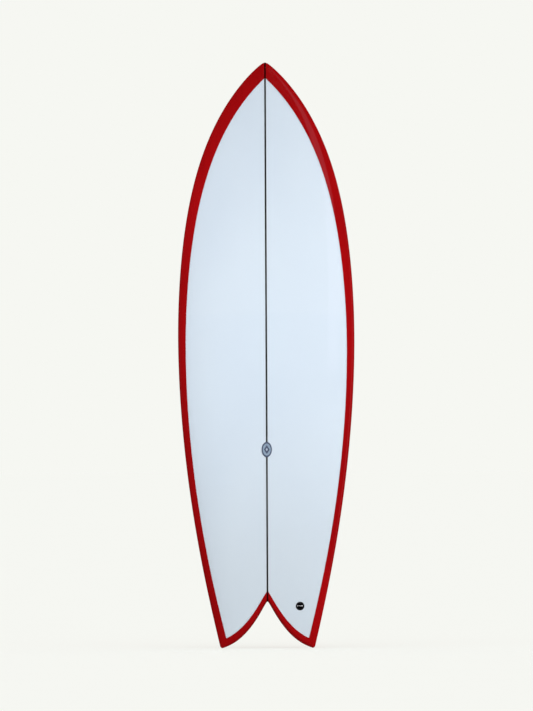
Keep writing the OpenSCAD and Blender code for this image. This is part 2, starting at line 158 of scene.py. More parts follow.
def across(x, z):
    return np.clip(np.abs(x) / np.maximum(half_w(z), 0.01), 0, 1)


def deck_h(x, z, edge=1.0):
    power = DECK_DOME + DECK_MORE * np.clip(1 - z / BOARD_L, 0, 1) ** 4
    rise = (thickness(z) - apex(z)) * np.sqrt(1 - across(x, z) ** power)
    return rocker(z) + apex(z) + rise * edge


def bottom_h(x, z, edge=1.0):
    power = BOTTOM_ROLL + BOTTOM_MORE * np.clip(1 - z / BOARD_L, 0, 1) ** 2
    reach = np.clip(across(x, z) / CONCAVE_REACH, 0, 1)
    hollow = CONCAVE * np.sin(np.pi * z / BOARD_L) ** 2 * (1 - reach**2) ** 2
    drop = (apex(z) - hollow) * np.sqrt(1 - across(x, z) ** power)
    return rocker(z) + apex(z) - drop * edge


# ---- The grid of rows and columns that every layer shares -----------------------------

LAP_COL = 15
RAIL_COL = 30
RING = 4 * RAIL_COL
EDGE_ROWS = 9
LAP_ROWS = 3
# Each row of the design between the laps is split in this many
FINER = 3
MID_ROWS = 34 * FINER
POINT_ROWS = 16
NOSE_ROWS = 7


def row_heights():
    """Heights of the rows at the rail, close together where the tail and nose edges roll."""
    edge = NOTCH_EDGE * (1 - np.cos(np.linspace(0, np.pi / 2, EDGE_ROWS + 1)))
    lap = np.linspace(NOTCH_EDGE, NOTCH_LAP, LAP_ROWS + 1)[1:-1]
    middle = np.linspace(NOTCH_LAP, PANEL_TOP, MID_ROWS + 1)[:-1]
    point = FOAM_END + (BOARD_L - PANEL_TOP - FOAM_END) * np.linspace(1, 0, POINT_ROWS + 1)[:-1] ** 1.5
    tip = FOAM_END * np.linspace(1, 0, NOSE_ROWS + 1) ** 2
    return np.concatenate([edge, lap, middle, BOARD_L - point, BOARD_L - tip])


rows = row_heights()
LAST_ROW = len(rows) - 1
LAP_ROW = EDGE_ROWS + LAP_ROWS
PANEL_ROW = LAP_ROW + MID_ROWS
FOAM_ROW = PANEL_ROW + POINT_ROWS


def lap_x(s):
    """Where the tinted lap's edge lies: its width is measured square to the rail."""
    share = s / BOARD_L
    width = LAP_W_TAIL - LAP_W_FALL * share + LAP_W_RISE * share**2
    high = np.minimum(s + 1, BOARD_L)
    slope = (half_w(high) - half_w(s - 1)) / (high - s + 1)
    return half_w(s) - width * np.hypot(1, slope)


def notch_h(u):
    """The notch's height over u, from 0 at the stringer to 1 at the tip."""
    run = np.hypot(u, NOTCH_BLEND) - NOTCH_BLEND
    whole = np.hypot(1, NOTCH_BLEND) - NOTCH_BLEND
    left = np.clip(1 - run / whole, 0, 1)
    return NOTCH_STRAIGHT * left + NOTCH_CURVE * left**NOTCH_POWER


def notch_stretch(u):
    """Length along the notch's slope for each unit across it."""
    rise = NOTCH_CURVE * NOTCH_POWER * np.clip(1 - u, 0, 1) ** (NOTCH_POWER - 1)
    return np.hypot(1, (NOTCH_STRAIGHT + rise) / (TAIL_W / 2))


def half_grid():
    """Points for the right half: columns 0 to RAIL_COL over the deck, then back under the bottom."""
    s = rows[:, None]
    wide = half_w(s)
    lap = np.maximum(lap_x(s), lap_x(PANEL_TOP) / half_w(PANEL_TOP) * wide)
    first = np.minimum(STRINGER_T / 2, lap / 2)
    j = np.arange(RAIL_COL + 1)[None, :]
    inside = first + (lap - first) * (j - 1) / (LAP_COL - 1)
    turn = np.sin(np.pi / 2 * np.clip(j - LAP_COL, 0, None) / (RAIL_COL - LAP_COL))
    x = np.where(j == 0, 0, np.where(j <= LAP_COL, inside, lap + (wide - lap) * turn))
    u = x / np.maximum(wide, 1e-9)
    z = s + notch_h(u) * np.clip(1 - s / NOTCH_FADE, 0, None) ** 2
    z = z + (notch_stretch(u) - 1) * s * np.exp(-s / NOTCH_REACH)
    point = POINT_H * np.exp(-(((s - PANEL_TOP) / POINT_REACH) ** 2))
    z = z + point * np.clip(1 - x / np.maximum(lap, 0.01), 0, None)
    z[-1] = BOARD_L
    edge = round_up(s / NOTCH_EDGE)
    deck = np.stack([x, -deck_h(x, z, edge), z], 2)
    bottom = np.stack([x, -bottom_h(x, z, edge), z], 2)
    return np.concatenate([deck, bottom[:, -2::-1]], 1)


def full_ring(half):
    """Both sides as one ring of columns: number r is column r, or column r - RING past the middle."""
    mirrored = half[:, -2:0:-1] * [-1, 1, 1]
    return np.concatenate([half, mirrored], 1)


outer = full_ring(half_grid())
columns = np.arange(RING)
signed = np.where(columns <= 2 * RAIL_COL, columns, columns - RING)
folded = (2 * RAIL_COL - columns) % RING


def outward_directions():
    """Unit normals; they lie in the stringer's plane on the stringer's own columns."""
    below = np.concatenate([outer[1:2, folded], outer[:-1]])
    above = np.concatenate([outer[1:], outer[-1:]])
    sideways = np.roll(outer, -1, 1) - np.roll(outer, 1, 1)
    n = np.cross(sideways, above - below)
    reach = np.abs(signed)
    n[:, (reach <= 1) | (reach >= 2 * RAIL_COL - 1), 0] = 0
    n = n / np.maximum(np.linalg.norm(n, axis=2, keepdims=True), 1e-12)
    for tip, side in ((RAIL_COL, -1), (RING - RAIL_COL, 1)):
        corner = n[0, tip + side] + n[1, tip]
        n[0, tip] = corner / np.linalg.norm(corner)
    under = (reach > RAIL_COL)
    n[0, under] = n[0, folded[under]]
    n[-1] = (0, 0, 1)
    return n


directions = outward_directions()

# The patches lie between the foam and the glass, which is thinner over them
DECK_PATCH_TOP = LAP_ROW + 20 * FINER
FIN_PATCH_ROWS = (LAP_ROW + 2 * FINER, LAP_ROW + 9 * FINER)
FIN_PATCH_COLS = (LAP_COL - 6, LAP_COL)


def glass_depths():
    """Thickness of the glass at each point of the grid."""
    i = np.arange(LAST_ROW + 1)[:, None]
    k = np.abs(signed)[None, :]
    j = 2 * RAIL_COL - k
    under_deck = (k < LAP_COL) & (i > LAP_ROW) & (i < DECK_PATCH_TOP)
    under_fin = (j > FIN_PATCH_COLS[0]) & (j < FIN_PATCH_COLS[1])
    under_fin = under_fin & (i > FIN_PATCH_ROWS[0]) & (i < FIN_PATCH_ROWS[1])
    return np.where(under_deck | under_fin, GLASS_T - PATCH_T, GLASS_T)


# Faces of neighbouring layers stay this far apart, so that none of them coincide
FILM_GAP = 0.1
depths = glass_depths()[:, :, None]
glass_inner = outer - directions * (depths - FILM_GAP)
patch_top = outer - directions * np.minimum(depths, GLASS_T - FILM_GAP)
patch_base = outer - directions * (GLASS_T - FILM_GAP)
foam_outer = outer - directions * GLASS_T

# ---- Places on the board's faces ------------------------------------------------------

PLUG_X = 96.0
PLUG_Z = 123.5
BAR_DEPTH = 4.0
FIN_X = 141.0
FIN_Z = 252.0
FIN_TOE = 1.5


def on_face(x, z, deck):
    """A frame on the face whose +Z points away from it."""
    height = deck_h if deck else bottom_h
    slope_x = float(height(x + 1, z) - height(x, z))
    slope_z = float(height(x, z + 1) - height(x, z))
    upright = math.pi / 2 if deck else -math.pi / 2
    return (
        Matrix.Translation((x, -float(height(x, z)), z))
        @ Matrix.Rotation(-math.atan(slope_x), 4, "Z")
        @ Matrix.Rotation(math.atan(slope_z), 4, "X")
        @ Matrix.Rotation(upright, 4, "X")
    )


plug_seat = on_face(PLUG_X, PLUG_Z, True)
bar_low, bar_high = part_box("leash_plug_bar")
# The design's baseline lies this far behind the origin
mid_y = (bar_low.y + bar_high.y) / 2 / MM - (plug_seat @ Vector((0, 0, -BAR_DEPTH))).y
placed = Matrix.Translation((0, mid_y, 0))


def fin_seat(side):
    """+Y points to the tail and +X away from the stringer."""
    mirror = Matrix.Diagonal((side, 1, 1, 1))
    return mirror @ on_face(FIN_X, FIN_Z, False) @ Matrix.Rotation(math.radians(-FIN_TOE), 4, "Z")


# ---- Meshes ---------------------------------------------------------------------------

SHARP_DEG = 34.0
MERGE = 1e-7


def new_object(name, points, faces, seat=None, flip=False):
    """An object from points in millimetres; it is closed, merged and smooth but for its sharp edges."""
    points = np.asarray(points, float).reshape(-1, 3)
    used, numbers = np.unique(np.concatenate([np.array(face) for face in faces]), return_inverse=True)
    ends = np.cumsum([len(face) for face in faces])
    faces = [part.tolist() for part in np.split(numbers, ends[:-1])]
    turn = np.array(placed @ (seat or Matrix.Identity(4)))
    points = (points[used] @ turn[:3, :3].T + turn[:3, 3]) * MM
    mesh = bpy.data.meshes.new(name)
    mesh.from_pydata(points.tolist(), [], faces)
    work = bmesh.new()
    work.from_mesh(mesh)
    bmesh.ops.remove_doubles(work, verts=work.verts, dist=MERGE)
    if flip:
        bmesh.ops.reverse_faces(work, faces=work.faces)
    work.to_mesh(mesh)
    work.free()
    made = bpy.data.objects.new(name, mesh)
    bpy.context.scene.collection.objects.link(made)
    soften(mesh)
    return made


def soften(mesh):
    mesh.polygons.foreach_set("use_smooth", np.ones(len(mesh.polygons), bool))
    mesh.set_sharp_from_angle(angle=math.radians(SHARP_DEG))


def combine(piece, others, operation):
    """The piece with the other objects cut away from it or joined to it, as one final mesh."""
    for other in others:
        step = piece.modifiers.new("combine", "BOOLEAN")
        step.operation = operation
        step.solver = "EXACT"
        step.object = other
    bpy.context.view_layer.update()
    shape = piece.evaluated_get(bpy.context.evaluated_depsgraph_get())
    piece.data = bpy.data.meshes.new_from_object(shape)
    piece.data.name = piece.name
    piece.modifiers.clear()
    for other in others:
        bpy.data.objects.remove(other)
    soften(piece.data)
    return piece


def finish_piece(piece, look, slot, *nodes):
    piece.data.materials.clear()
    piece.data.materials.append(look)
    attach(piece, "root")
    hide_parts(*nodes)
    return piece


def point_number(i, k):
    return i * RING + k % RING


def cell(i, k):
    return [point_number(i, k), point_number(i, k + 1), point_number(i + 1, k + 1), point_number(i + 1, k)]


def cap(i, j):
    """A four-sided piece from deck to bottom across row i, on the right side."""
    under = 2 * RAIL_COL - j
    return [point_number(i, j), point_number(i, j + 1), point_number(i, under - 1), point_number(i, under)]


def mirrored(corners):
    """The same piece on the left side."""
    return [p - p % RING + (RING - p % RING) % RING for p in reversed(corners)]


def layer(name, own, solid_from=LAST_ROW):
    """A laminate: the outer surface where own says, an inner one below it, and walls at its edges.
    From row solid_from on it is solid resin, closed by caps."""
    count = (LAST_ROW + 1) * RING
    faces = []
    for i, k in np.argwhere(own):
        a, b, c, d = cell(i, k)
        faces.append([a, b, c, d])
        if i >= solid_from:
            continue
        faces.append([d + count, c + count, b + count, a + count])
        edges = (
            (i > 0 and not own[i - 1, k], a, b),
            (not own[i, (k + 1) % RING], b, c),
            (i + 1 >= LAST_ROW or not own[i + 1, k], c, d),
            (not own[i, (k - 1) % RING], d, a),
        )
        faces += [[q, p, p + count, q + count] for bare, p, q in edges if bare]
    if solid_from < LAST_ROW:
        for j in range(RAIL_COL):
            for corners in (cap(solid_from, j), mirrored(cap(solid_from, j))):
                faces.append([p + count for p in reversed(corners)])
    return new_object(name, np.concatenate([outer, glass_inner]), faces)


def patch(name, own):
    """A cloth patch, in the space between the foam and the thinner glass over it."""
    count = (LAST_ROW + 1) * RING
    faces = []
    for i, k in np.argwhere(own):
        corners = cell(i, k)
        faces.append(corners)
        faces.append([p + count for p in reversed(corners)])
    return new_object(name, np.concatenate([patch_top, patch_base]), faces)


def foam_half(name, side):
    """One half of the blank, with a flat wall against the stringer."""
    faces = [cell(i, k) for i in range(FOAM_ROW) for k in range(1, 2 * RAIL_COL - 1)]
    for i in range(FOAM_ROW):
        faces.append(
            [
                point_number(i + 1, 1),
                point_number(i + 1, 2 * RAIL_COL - 1),
                point_number(i, 2 * RAIL_COL - 1),
                point_number(i, 1),
            ]
        )
    faces += [cap(FOAM_ROW, j) for j in range(1, RAIL_COL)]
    points = foam_outer * [side, 1, 1]
    return new_object(name, points, faces, flip=side < 0)


def stringer_strip(name):
    top = 2 * RAIL_COL
    right = [cell(i, k) for i in range(FOAM_ROW) for k in (0, top - 1)]
    right += [
        [point_number(i, 1), point_number(i, top - 1), point_number(i + 1, top - 1), point_number(i + 1, 1)]
        for i in range(FOAM_ROW)
    ]
    right.append(cap(FOAM_ROW, 0))
    return new_object(name, foam_outer, right + [mirrored(face) for face in right])


def lathe(name, profile, seat, straight=0.0, steps=64, mirror=False):
    """Rings round Z from a profile of (radius, height) pairs, with a flat face on each end.
    With a straight part, each ring is a stadium along Y."""
    turn = (np.arange(steps) + 0.5) * 2 * np.pi / steps
    shift = np.sign(np.sin(turn)) * straight / 2
    points = [
        [r * math.cos(a), r * math.sin(a) + d, h] for r, h in profile for a, d in zip(turn, shift)
    ]
    faces = [
        [i * steps + m, i * steps + (m + 1) % steps, (i + 1) * steps + (m + 1) % steps, (i + 1) * steps + m]
        for i in range(len(profile) - 1)
        for m in range(steps)
    ]
    faces.append(list(range(steps))[::-1])
    faces.append(list(range((len(profile) - 1) * steps, len(profile) * steps)))
    return new_object(name, points, faces, seat, flip=mirror)


def block(name, low, high, seat, mirror=False):
    """A box between two corners, used only to cut or to be joined."""
    points = [[(low, high)[a][0], (low, high)[b][1], (low, high)[c][2]]
              for c in (0, 1) for b in (0, 1) for a in (0, 1)]
    faces = [[0, 2, 3, 1], [4, 5, 7, 6], [0, 1, 5, 4], [2, 6, 7, 3], [0, 4, 6, 2], [1, 3, 7, 5]]
    return new_object(name, points, faces, seat, flip=mirror)


def arc(centre, radius, start, end, steps=5):
    """Points of a profile's round edge, from angle start to angle end in degrees."""
    turn = np.radians(np.linspace(start, end, steps + 1))
    return [(centre[0] + radius * math.cos(a), centre[1] + radius * math.sin(a)) for a in turn]


# ---- Fins, boxes and screws -----------------------------------------------------------

GAP = 0.1
BOX_L = 136.0
BOX_W = 22.0
BOX_STRAIGHT = BOX_L - BOX_W
BODY_W = 16.0
FLANGE_T = 3.0
BOX_DEPTH = 22.0
BOX_SINK = 0.3
TAB_L = 114.0
TAB_W = 7.4
TAB_DEPTH = 19.0
TAB_Y = 6.0
TOE_L = 12.0
TOE_T = 7.0
# A grub screw is sunk below the box's face, in a hole a little wider than it, and its point is turned down
SCREW_R = 2.1
SCREW_Y = TAB_Y - TAB_L / 2 - TOE_L / 2
SCREW_SUNK = 0.6
SCREW_L = TAB_DEPTH - TOE_T - SCREW_SUNK
SCREW_GAP = 0.05
POINT_IN = 0.7
POINT_UP = 0.8
END_CHAMFER = 0.3
HOLE_FLARE = 0.5
FLARE_DEPTH = 0.4
MOULD_CHAMFER = 1.0
FLANGE_EDGE = 0.5
HEX_R = 1.3
HEX_DEPTH = 3.0
THROUGH = 5.0

FIN_BASE = 204.0
FIN_DEPTH = 134.0
FIN_T = 9.0
FIN_CANT = 5.0
FIN_FULLNESS = 2.6
FIN_ROUND = 0.55
FIN_CUTAWAY = 22.0
FIN_THINNING = 0.45
THICKEST_SHARE = 0.1
# Thickness of one ply of cloth, which sets how close the fin's contour lines lie
PLY_T = 0.62
FIN_RISE = 0.05
REAR_EDGE = 0.8
TIP_SET = 14.0
INNER_SHARE = 0.2
LAST_SPAN = 0.985
SPANS = 44
TIP_SPANS = 6
FOIL_STEPS = 26
TAB_OVERLAP = 0.2


def fin_front(v):
    """Distance of the fin's front edge from the base's rear end, v from 0 at the base to 1."""
    return FIN_BASE * (1 - v**FIN_FULLNESS) ** FIN_ROUND


def fin_rear(v):
    return FIN_CUTAWAY * math.sin(math.pi * v**0.75)


def foil(c):
    """Half-thickness of a foil of unit thickness, c from 0 at the front to 1 at the rear."""
    c = np.clip(c, 0, 1)
    return 5 * (0.2969 * np.sqrt(c) - 0.126 * c - 0.3516 * c**2 + 0.2843 * c**3 - 0.1036 * c**4)


def fin_thickness(v):
    return min(FIN_T * (1 - FIN_THINNING * v), THICKEST_SHARE * (fin_front(v) - fin_rear(v)))


def blade_ring(v):
    """The fin's section at span v. Its inner face is nearly flat."""
    chord = fin_front(v) - fin_rear(v)
    t = fin_thickness(v)
    m = np.arange(2 * FOIL_STEPS)
    out = m <= FOIL_STEPS
    c = (1 - np.cos(np.pi * np.where(out, m, 2 * FOIL_STEPS - m) / FOIL_STEPS)) / 2
    least = np.where(m % FOIL_STEPS == 0, 0, min(REAR_EDGE, t / 3) / 2)
    d = np.maximum(foil(c) * t, least)
    x = np.where(out, 2 * d * (1 - INNER_SHARE), -2 * d * INNER_SHARE)
    x = x - t * (0.5 - INNER_SHARE) + math.tan(math.radians(FIN_CANT)) * FIN_DEPTH * v
    y = FIN_BASE / 2 - fin_front(v) + chord * c
    z = np.full(len(m), FIN_RISE + (FIN_DEPTH - FIN_RISE) * v)
    return np.stack([x, y, z], 1)


def blade(name, side):
    lean = math.tan(math.radians(FIN_CANT)) * FIN_DEPTH
    tip = np.array([lean, FIN_BASE / 2 - TIP_SET, FIN_DEPTH])
    spans = LAST_SPAN * np.sin(np.linspace(0, np.pi / 2, SPANS))
    rings = [blade_ring(v) for v in spans]
    last = rings[-1]
    for turn in np.linspace(0, np.pi / 2, TIP_SPANS + 1)[1:-1]:
        closer = tip + (last - tip) * math.cos(turn)
        closer[:, 2] = last[0, 2] + (tip[2] - last[0, 2]) * math.sin(turn)
        rings.append(closer)
    n = 2 * FOIL_STEPS
    points = np.concatenate(rings + [tip[None]])
    faces = [
        [i * n + m, i * n + (m + 1) % n, (i + 1) * n + (m + 1) % n, (i + 1) * n + m]
        for i in range(len(rings) - 1)
        for m in range(n)
    ]
    top = (len(rings) - 1) * n
    faces += [[top + m, top + (m + 1) % n, len(rings) * n] for m in range(n)]
    faces.append(list(range(n))[::-1])
    return new_object(name, points, faces, fin_seat(side), flip=side > 0)


def tab_blocks(side, grow, top):
    seat = fin_seat(side) @ Matrix.Translation((0, 0, -BOX_SINK))
    half = TAB_W / 2 + grow
    front = TAB_Y - TAB_L / 2
    main = block("tab", (-half, front - grow, -TAB_DEPTH - grow),
                 (half, TAB_Y + TAB_L / 2 + grow, top), seat, side < 0)
    toe = block("toe", (-half, front - TOE_L - grow, -TAB_DEPTH - grow),
                (half, front + 1, -TAB_DEPTH + TOE_T + grow), seat, side < 0)
    return [main, toe]


def box_cutter(side):
    """The stepped hole that a fin box is set in."""
    seat = fin_seat(side) @ Matrix.Translation((0, 0, -BOX_SINK))
    body_r, flange_r = BODY_W / 2 + GAP, BOX_W / 2 + GAP
    profile = [(body_r, -BOX_DEPTH - GAP), (body_r, -FLANGE_T - GAP),
               (flange_r, -FLANGE_T - GAP), (flange_r, THROUGH)]
    return lathe("box_cutter", profile, seat, BOX_STRAIGHT, 96, side < 0)


def fin_box(name, side):
    seat = fin_seat(side) @ Matrix.Translation((0, 0, -BOX_SINK))
    profile = [(BODY_W / 2 - MOULD_CHAMFER, -BOX_DEPTH), (BODY_W / 2, -BOX_DEPTH + MOULD_CHAMFER),
               (BODY_W / 2, -FLANGE_T), (BOX_W / 2, -FLANGE_T)]
    profile += arc((BOX_W / 2 - FLANGE_EDGE, -FLANGE_EDGE), FLANGE_EDGE, 0, 90)
    body = lathe(name, profile, seat, BOX_STRAIGHT, 96, side < 0)
    hole_r, flare_r = SCREW_R + SCREW_GAP, SCREW_R + HOLE_FLARE
    hole = [(hole_r, -TAB_DEPTH + TOE_T), (hole_r, -FLARE_DEPTH), (flare_r, GAP), (flare_r, THROUGH)]
    hole = lathe("hole", hole, seat @ Matrix.Translation((0, SCREW_Y, 0)), 0, 40, side < 0)
    return combine(body, tab_blocks(side, GAP, THROUGH) + [hole], "DIFFERENCE")


def grub_screw(name, side):
    start = -BOX_SINK - TAB_DEPTH + TOE_T
    seat = fin_seat(side) @ Matrix.Translation((0, SCREW_Y, start))
    profile = [(SCREW_R - POINT_IN, 0), (SCREW_R, POINT_UP)]
    profile += [(SCREW_R, SCREW_L - END_CHAMFER), (SCREW_R - END_CHAMFER, SCREW_L)]
    socket = [(HEX_R, SCREW_L - HEX_DEPTH), (HEX_R, SCREW_L + 1)]
    socket = lathe("socket", socket, seat, 0, 6, side < 0)
    return combine(lathe(name, profile, seat, 0, 40, side < 0), [socket], "DIFFERENCE")


# ---- Leash plug and decal -------------------------------------------------------------

PLUG_R = 12.5
PLUG_DEPTH = 19.0
MOUTH_R = 8.5
BASE_R = MOUTH_R - 1
CUP_FLOOR = 4.0
CUP_FILLET = 5.0
BAR_R = 1.5
BAR_L = 20.0
PLUG_EDGE = 0.6
MOUTH_EDGE = 1.0


def plug_cutter(deep):
    return lathe("plug_cutter", [(PLUG_R + GAP, -deep), (PLUG_R + GAP, THROUGH)], plug_seat, 0, 128)


def plug_cup(name):
    floor = CUP_FLOOR - PLUG_DEPTH
    profile = [(PLUG_R - MOULD_CHAMFER, -PLUG_DEPTH), (PLUG_R, -PLUG_DEPTH + MOULD_CHAMFER)]
    profile += arc((PLUG_R - PLUG_EDGE, -PLUG_EDGE), PLUG_EDGE, 0, 90)
    profile += arc((MOUTH_R + MOUTH_EDGE, -MOUTH_EDGE), MOUTH_EDGE, 90, 180)
    profile += arc((BASE_R - CUP_FILLET, floor + CUP_FILLET), CUP_FILLET, 0, -90, 10)
    return lathe(name, profile, plug_seat, 0, 128)


def plug_bar(name):
    profile = [(BAR_R - END_CHAMFER, -BAR_L / 2), (BAR_R, -BAR_L / 2 + END_CHAMFER),
               (BAR_R, BAR_L / 2 - END_CHAMFER), (BAR_R - END_CHAMFER, BAR_L / 2)]
    seat = plug_seat @ Matrix.Translation((0, 0, -BAR_DEPTH)) @ Matrix.Rotation(math.pi / 2, 4, "Y")
    return lathe(name, profile, seat, 0, 48)


DECAL_Z = 586.0
DECAL_W = 30.0
DECAL_H = 45.0
DECAL_LIFT = 0.05
DECAL_T = 0.3


def film(name):
    """An oval film that follows the deck."""
    turns, steps = 96, 12
    turn = np.arange(turns) * 2 * np.pi / turns
    share = np.linspace(0, 1, steps + 1)[1:, None]
    x = np.concatenate([[0], (DECAL_W / 2 * share * np.cos(turn)).ravel()])
    z = np.concatenate([[0], (DECAL_H / 2 * share * np.sin(turn)).ravel()]) + DECAL_Z
    low = -deck_h(x, z) - DECAL_LIFT
    count = len(x)
    points = np.concatenate([np.stack([x, low - DECAL_T, z], 1), np.stack([x, low, z], 1)])
    faces = []
    for m in range(turns):
        n = (m + 1) % turns
        faces.append([0, 1 + m, 1 + n])
        for i in range(steps - 1):
            a, b = 1 + i * turns, 1 + (i + 1) * turns
            faces.append([a + m, b + m, b + n, a + n])
    faces += [[p + count for p in reversed(face)] for face in faces]
    rim = 1 + (steps - 1) * turns
    faces += [[rim + (m + 1) % turns, rim + m, rim + m + count, rim + (m + 1) % turns + count]
              for m in range(turns)]
    return new_object(name, points, faces)


# ---- Materials ------------------------------------------------------------------------


class Look:
    """A material under construction. Each method adds a node and returns its output."""

    def __init__(self, name):
        self.material = bpy.data.materials.new(name)
        self.material.use_nodes = True
        self.tree = self.material.node_tree
        self.tree.nodes.clear()
        self.place = self.add("ShaderNodeTexCoord").outputs["Object"]

    def add(self, kind, settings=None, inputs=None):
        made = self.tree.nodes.new(kind)
        for name, value in (settings or {}).items():
            setattr(made, name, value)
        for name, value in (inputs or {}).items():
            self.feed(made.inputs[name], value)
        return made

    def feed(self, socket, value):
        if isinstance(value, bpy.types.NodeSocket):
            self.tree.links.new(value, socket)
        else:
            socket.default_value = value

    def math(self, operation, a, b=0.0, c=0.0, clamp=False):
        settings = {"operation": operation, "use_clamp": clamp}
        return self.add("ShaderNodeMath", settings, {0: a, 1: b, 2: c}).outputs[0]

    def axes(self):
        return self.add("ShaderNodeSeparateXYZ", None, {0: self.place}).outputs

    def noise(self, scale, stretch=(1, 1, 1), detail=3.0, roughness=0.5):
        """Smooth noise, 0 to 1. scale is in features for each metre."""
        stretched = self.add("ShaderNodeMapping", None, {"Vector": self.place, "Scale": stretch})
        inputs = {"Vector": stretched.outputs[0], "Scale": scale, "Detail": detail, "Roughness": roughness}
        return self.add("ShaderNodeTexNoise", None, inputs).outputs["Fac"]

    def ramp(self, value, low, high, start=0.0, end=1.0, smooth=False):
        """Maps value from low..high to start..end, clamped."""
        kind = {"interpolation_type": "SMOOTHSTEP" if smooth else "LINEAR"}
        inputs = {"Value": value, "From Min": low, "From Max": high, "To Min": start, "To Max": end}
        return self.add("ShaderNodeMapRange", kind, inputs).outputs["Result"]

    def blend(self, share, a, b, how="MIX"):
        made = self.add("ShaderNodeMix", {"data_type": "RGBA", "blend_type": how})
        self.feed(made.inputs[0], share)
        self.feed(made.inputs[6], a)
        self.feed(made.inputs[7], b)
        return made.outputs[2]

    def weave(self, pitch, a, b):
        """Plain weave of a cloth with this pitch in metres, along two coordinates, 0 to 1."""
        waves = [self.math("SINE", self.math("MULTIPLY", axis, 2 * math.pi / pitch)) for axis in (a, b)]
        return self.math("MULTIPLY_ADD", self.math("MULTIPLY", *waves), 0.5, 0.5)

    def bump(self, height, strength, distance):
        inputs = {"Height": height, "Strength": strength, "Distance": distance}
        return self.add("ShaderNodeBump", None, inputs).outputs["Normal"]

    def shader(self, **inputs):
        named = {name.replace("_", " "): value for name, value in inputs.items()}
        return self.add("ShaderNodeBsdfPrincipled", None, named).outputs[0]

    def done(self, shader):
        self.add("ShaderNodeOutputMaterial", None, {"Surface": shader})
        return self.material


def colour(r, g, b):
    return (r, g, b, 1.0)


# Distances between threads, in metres
BOARD_WEAVE = 0.0028
FIN_WEAVE = 0.0022


def stringer_share(look, softness=0.0005):
    """1 over the stringer, 0 beside it."""
    x = look.math("ABSOLUTE", look.axes()[0])
    half = STRINGER_T / 2 * MM
    return look.ramp(x, half - softness, half + softness, 1.0, 0.0, True)


def tinted_glass():
    look = Look("tinted_glass")
    x, _, z = look.axes()
    pooled = look.noise(7.0, (1, 1, 0.35), 2.0)
    drawn = look.noise(40.0, (1, 1, 0.12), 3.0)
    density = look.math("MULTIPLY_ADD", drawn, 0.35, look.math("MULTIPLY", pooled, 0.65))
    density = look.ramp(density, 0.35, 0.65)
    base = look.blend(density, colour(0.285, 0.001, 0.002), colour(0.375, 0.002, 0.0035))
    cloth = look.weave(BOARD_WEAVE, x, z)
    base = look.blend(look.math("MULTIPLY", cloth, 0.10), base, colour(0.22, 0.001, 0.0015))
    base = look.blend(look.math("MULTIPLY", stringer_share(look), 0.93), base, colour(0.004, 0.0, 0.0))
    peel = look.bump(look.noise(120.0, (1, 1, 1), 1.0), 0.03, 0.001)
    return look.done(look.shader(
        Base_Color=base, Roughness=0.5, Specular_IOR_Level=0.0,
        Coat_Weight=1.0, Coat_Roughness=0.06, Coat_IOR=1.5, Coat_Normal=peel))


def blank_foam():
    look = Look("blank_foam")
    tone = look.noise(4.0, (1, 1, 0.5), 2.0)
    base = look.blend(look.ramp(tone, 0.35, 0.65), colour(0.690, 0.768, 0.845), colour(0.715, 0.793, 0.865))
    cells = look.noise(1400.0, (1, 1, 1), 2.0)
    base = look.blend(look.ramp(cells, 0.55, 0.75, 0.0, 0.10), base, colour(0.60, 0.66, 0.72))
    x = look.math("ABSOLUTE", look.axes()[0])
    half = STRINGER_T / 2 * MM
    tail = look.ramp(look.axes()[2], 0.1, 0.8, 1.0, 0.0, True)
    base = look.blend(look.math("MULTIPLY", tail, 0.6), base, colour(1.0, 0.975, 0.93), "MULTIPLY")
    glue = look.ramp(x, half + 0.0004, half + 0.0016, 0.35, 0.0, True)
    base = look.blend(glue, base, colour(0.62, 0.63, 0.60))
    return look.done(look.shader(
        Base_Color=base, Roughness=0.9, Specular_IOR_Level=0.1, Normal=look.bump(cells, 0.15, 0.0002)))


def stringer_wood():
    look = Look("stringer_wood")
    grain = look.noise(900.0, (1, 1, 0.02), 4.0, 0.6)
    base = look.blend(look.ramp(grain, 0.35, 0.65), colour(0.002, 0.002, 0.002), colour(0.009, 0.007, 0.006))
    return look.done(look.shader(
        Base_Color=base, Roughness=0.6, Specular_IOR_Level=0.2, Normal=look.bump(grain, 0.2, 0.0002)))


def clear_glass():
    """Clear resin: see-through, and glossier at a slant."""
    look = Look("clear_glass")
    facing = look.add("ShaderNodeLayerWeight", None, {"Blend": 0.5}).outputs["Facing"]
    mirror = look.math("MULTIPLY_ADD", look.math("POWER", facing, 5.0), 0.5, 0.03)
    tone = look.noise(6.0, (1, 1, 0.4), 2.0)
    tint = look.blend(tone, colour(0.996, 0.998, 1.0), colour(0.984, 0.990, 0.998))
    peel = look.bump(look.noise(110.0, (1, 1, 1), 1.0), 0.03, 0.001)
    clear = look.add("ShaderNodeBsdfTransparent", None, {"Color": tint})
    gloss = look.add("ShaderNodeBsdfGlossy", None, {"Roughness": 0.05, "Normal": peel})
    mixed = look.add("ShaderNodeMixShader", None, {0: mirror, 1: clear.outputs[0], 2: gloss.outputs[0]})
    return look.done(mixed.outputs[0])


def patch_cloth():
    """Glass cloth soaked in resin: nearly clear, with a faint weave."""
    look = Look("patch_cloth")
    x, _, z = look.axes()
    cloth = look.weave(BOARD_WEAVE, x, z)
    seen = look.math("MULTIPLY_ADD", cloth, 0.006, 0.002)
    clear = look.add("ShaderNodeBsdfTransparent", None, {"Color": colour(0.998, 0.999, 1.0)})
    fibre = look.add("ShaderNodeBsdfDiffuse", None, {"Color": colour(0.72, 0.79, 0.86)})
    mixed = look.add("ShaderNodeMixShader", None, {0: seen, 1: clear.outputs[0], 2: fibre.outputs[0]})
    return look.done(mixed.outputs[0])


